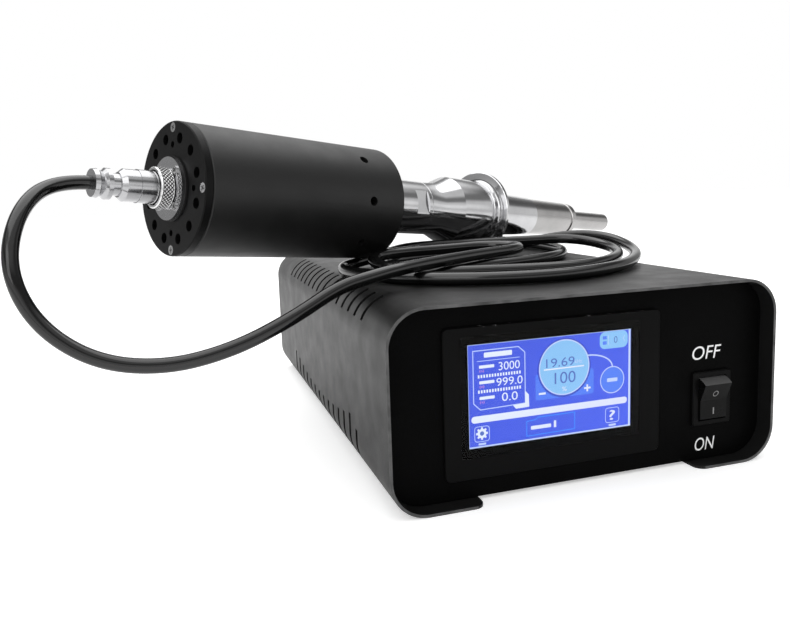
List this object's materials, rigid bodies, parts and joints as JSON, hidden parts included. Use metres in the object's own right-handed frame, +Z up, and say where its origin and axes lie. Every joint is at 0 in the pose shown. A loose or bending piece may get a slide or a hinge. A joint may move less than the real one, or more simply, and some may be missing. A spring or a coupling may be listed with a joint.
{
  "type": "probe sonicator",
  "caption": "Desktop ultrasonic generator with touch display and rocker switch, carrying its round converter, booster, horn and coiled cable on the lid.",
  "frame": {"origin": "on the table, under the middle of the generator's cover", "axes": "+X to the right of the control panel, +Y to the rear, +Z up"},
  "size_m": [0.494, 0.4397, 0.2017],
  "materials": {
    "cover_paint": "satin black powder coat",
    "panel_paint": "matte black powder coat",
    "zinc_steel": "zinc plated sheet",
    "screw_steel": "bright steel",
    "bezel_plastic": "semi gloss black",
    "display_glass": "clear touch glass",
    "display_screen": "lit blue screen",
    "circuit_board": "green solder mask",
    "switch_plastic": "black moulded plastic",
    "fan_plastic": "black moulded plastic",
    "inlet_plastic": "black moulded plastic",
    "heatsink_aluminium": "extruded aluminium",
    "ferrite": "dark ferrite and winding",
    "capacitor_sleeve": "shrink sleeve",
    "standoff_brass": "bright brass",
    "anodised_black": "matte black anodising",
    "gasket_rubber": "black rubber",
    "connector_metal": "nickel plated",
    "back_mass_steel": "turned steel",
    "piezo_ceramic": "fired ceramic",
    "electrode_copper": "copper sheet",
    "bright_aluminium": "polished aluminium",
    "titanium": "turned titanium",
    "cable_jacket": "glossy black jacket"
  },
  "bodies": {
    "generator": {"outer_cover": "cover_paint", "front_panel": "panel_paint", "rear_panel": "panel_paint", "base_tray": "zinc_steel", "cover_screws": "screw_steel", "cap_screws": "screw_steel", "front_socket_screws": "screw_steel", "rear_socket_screws": "screw_steel", "fan_screws": "screw_steel", "rocker_pin": "screw_steel", "fan_guard": "screw_steel", "preload_bolt": "screw_steel", "joint_studs": "screw_steel", "display_bezel": "bezel_plastic", "touch_glass": "display_glass", "display_module": "display_screen", "control_board": "circuit_board", "power_board": "circuit_board", "switch_body": "switch_plastic", "fan_frame": "fan_plastic", "mains_inlet": "inlet_plastic", "fuse_drawer": "inlet_plastic", "heatsink": "heatsink_aluminium", "transformer": "ferrite", "inductor": "ferrite", "capacitors": "capacitor_sleeve", "board_standoffs": "standoff_brass", "converter_housing": "anodised_black", "end_cap": "anodised_black", "front_gasket": "gasket_rubber", "rear_gasket": "gasket_rubber", "front_socket": "connector_metal", "front_plug_body": "connector_metal", "front_cable_clamp": "connector_metal", "rear_socket": "connector_metal", "rear_plug_body": "connector_metal", "rear_cable_clamp": "connector_metal", "back_mass": "back_mass_steel", "ceramic_rings": "piezo_ceramic", "electrodes": "electrode_copper", "front_mass": "bright_aluminium", "booster": "bright_aluminium", "horn": "bright_aluminium", "horn_tip": "titanium", "cable_loop": "cable_jacket", "cable_coil": "cable_jacket", "cable_tail": "cable_jacket"},
    "rocker": {"power_rocker": "switch_plastic"},
    "fan": {"fan_rotor": "fan_plastic"},
    "front_ring": {"front_coupling_ring": "connector_metal"},
    "rear_ring": {"rear_coupling_ring": "connector_metal"}
  },
  "joints": [
    {"name": "rocker_tilt", "type": "hinge", "parent": "generator", "child": "rocker", "pos_m": [0.0786, -0.1615, 0.0374], "axis": [-1, 0, 0], "range_deg": [0, 22]},
    {"name": "fan_spin", "type": "hinge", "parent": "generator", "child": "fan", "pos_m": [-0.058, 0.1485, 0.052], "axis": [0, 1, 0], "continuous": true},
    {"name": "front_ring_turn", "type": "hinge", "parent": "generator", "child": "front_ring", "pos_m": [-0.20824, -0.06201, 0.16448], "axis": [-0.8907, -0.4441, 0.0976], "range_deg": [0, 360]},
    {"name": "rear_ring_turn", "type": "hinge", "parent": "generator", "child": "rear_ring", "pos_m": [0.084, 0.1685, 0.034], "axis": [0, 1, 0], "range_deg": [0, 360]}
  ]
}
